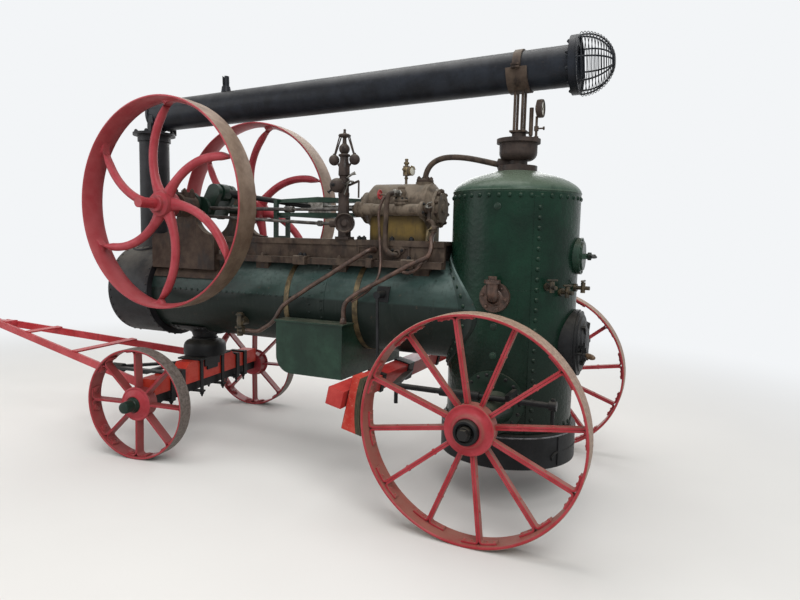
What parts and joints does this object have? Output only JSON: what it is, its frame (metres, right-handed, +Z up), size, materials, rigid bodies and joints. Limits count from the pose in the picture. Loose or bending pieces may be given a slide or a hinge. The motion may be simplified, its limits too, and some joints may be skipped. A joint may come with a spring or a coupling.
{
  "type": "portable steam engine",
  "caption": "Towed portable steam engine: upright round firebox, horizontal boiler, overhead cylinder, twin curved-spoke flywheels, folding chimney, iron wheels and drawbar.",
  "frame": {"origin": "on the ground, under the middle of the whole engine with its drawbar", "axes": "+X forward to the smokebox and drawbar, +Y to the engine's left side, +Z up"},
  "size_m": [5.5458, 2.02, 2.8408],
  "materials": {
    "boiler_green": "weathered enamel",
    "barrel_paint": "dusty worn paint",
    "black_iron": "black paint on iron",
    "crimson_paint": "worn gloss paint",
    "beam_paint": "gloss paint on timber",
    "brown_casting": "rusty painted casting",
    "ochre_jacket": "stained paint",
    "aged_brass": "dull, oiled",
    "aged_copper": "dull, oiled",
    "bright_steel": "oiled",
    "brake_wood": "worn paint"
  },
  "bodies": {
    "engine": {"firebox_shell": "boiler_green", "firebox_crown": "boiler_green", "fire_door_frame": "black_iron", "ash_pan": "black_iron", "grate": "black_iron", "rear_axle_brackets": "black_iron", "barrel_throat": "barrel_paint", "barrel": "barrel_paint", "barrel_bands": "aged_brass", "smokebox": "black_iron", "chimney_base": "black_iron", "manhole_cover": "boiler_green", "safety_valve": "brown_casting", "chimney_crutch": "brown_casting", "pressure_gauge": "brown_casting", "bed_casting": "brown_casting", "crank_pedestals": "brown_casting", "engine_cylinder": "brown_casting", "cylinder_jacket": "ochre_jacket", "valve_chest": "brown_casting", "slide_bars": "boiler_green", "crosshead": "bright_steel", "connecting_rod": "black_iron", "valve_gear": "bright_steel", "feed_pump": "brown_casting", "governor_column": "brown_casting", "steam_pipe": "brown_casting", "feed_tank": "boiler_green", "feed_pipes": "aged_copper", "check_valve": "aged_brass", "mud_hole_elbow": "aged_copper", "try_cocks": "aged_brass", "brake_beam": "brake_wood", "brake_shoes": "brake_wood", "brake_gear": "black_iron", "king_post": "black_iron"},
    "fore_carriage": {"turntable": "black_iron", "front_axle": "black_iron", "axle_beam": "beam_paint", "hounds": "black_iron"},
    "drawbar": {"drawbar_arms": "crimson_paint", "drawbar_cross_bars": "crimson_paint", "tow_eye": "crimson_paint"},
    "front_wheel_left": {"front_wheel_left": "crimson_paint"},
    "front_wheel_right": {"front_wheel_right": "crimson_paint"},
    "rear_wheel_left": {"rear_wheel_left": "crimson_paint"},
    "rear_wheel_right": {"rear_wheel_right": "crimson_paint"},
    "crank": {"crankshaft": "black_iron", "flywheel_left": "crimson_paint", "flywheel_right": "crimson_paint"},
    "chimney": {"chimney_tube": "black_iron", "chimney_fittings": "black_iron", "chimney_strap": "brown_casting", "spark_cage": "black_iron"},
    "governor_head": {"governor_head": "black_iron"},
    "fire_door": {"fire_door": "black_iron"},
    "smokebox_door": {"smokebox_door": "black_iron"}
  },
  "joints": [
    {"name": "steering", "type": "hinge", "parent": "engine", "child": "fore_carriage", "pos_m": [0.43408, 0, 0.6], "axis": [0, 0, 1], "range_deg": [-57.4, 42.6]},
    {"name": "drawbar_lift", "type": "hinge", "parent": "fore_carriage", "child": "drawbar", "pos_m": [0.58283, 0.01932, 0.462], "axis": [0.1288, -0.9917, 0], "range_deg": [-18, 8]},
    {"name": "front_wheel_left_spin", "type": "hinge", "parent": "fore_carriage", "child": "front_wheel_left", "pos_m": [0.33259, 0.78144, 0.394], "axis": [-0.1288, 0.9917, 0], "continuous": true},
    {"name": "front_wheel_right_spin", "type": "hinge", "parent": "fore_carriage", "child": "front_wheel_right", "pos_m": [0.53557, -0.78144, 0.394], "axis": [-0.1288, 0.9917, 0], "continuous": true},
    {"name": "rear_wheel_left_spin", "type": "hinge", "parent": "engine", "child": "rear_wheel_left", "pos_m": [-2.15792, 0.89, 0.615], "axis": [0, 1, 0], "continuous": true},
    {"name": "rear_wheel_right_spin", "type": "hinge", "parent": "engine", "child": "rear_wheel_right", "pos_m": [-2.15792, -0.89, 0.615], "axis": [0, 1, 0], "continuous": true},
    {"name": "crank_turn", "type": "hinge", "parent": "engine", "child": "crank", "pos_m": [0.31508, 0, 1.808], "axis": [0, 1, 0], "continuous": true},
    {"name": "chimney_raise", "type": "hinge", "parent": "engine", "child": "chimney", "pos_m": [0.87208, 0, 2.47], "axis": [0, 1, 0], "range_deg": [0, 88.35]},
    {"name": "governor_spin", "type": "hinge", "parent": "engine", "child": "governor_head", "pos_m": [-1.02192, 0.265, 2.1], "axis": [0, 0, 1], "continuous": true},
    {"name": "fire_door_swing", "type": "hinge", "parent": "engine", "child": "fire_door", "pos_m": [-2.56892, -0.222, 0.98], "axis": [0, 0, 1], "range_deg": [0, 120]},
    {"name": "smokebox_door_swing", "type": "hinge", "parent": "engine", "child": "smokebox_door", "pos_m": [1.13038, -0.307, 1.135], "axis": [0, 0, -1], "range_deg": [0, 120]}
  ]
}
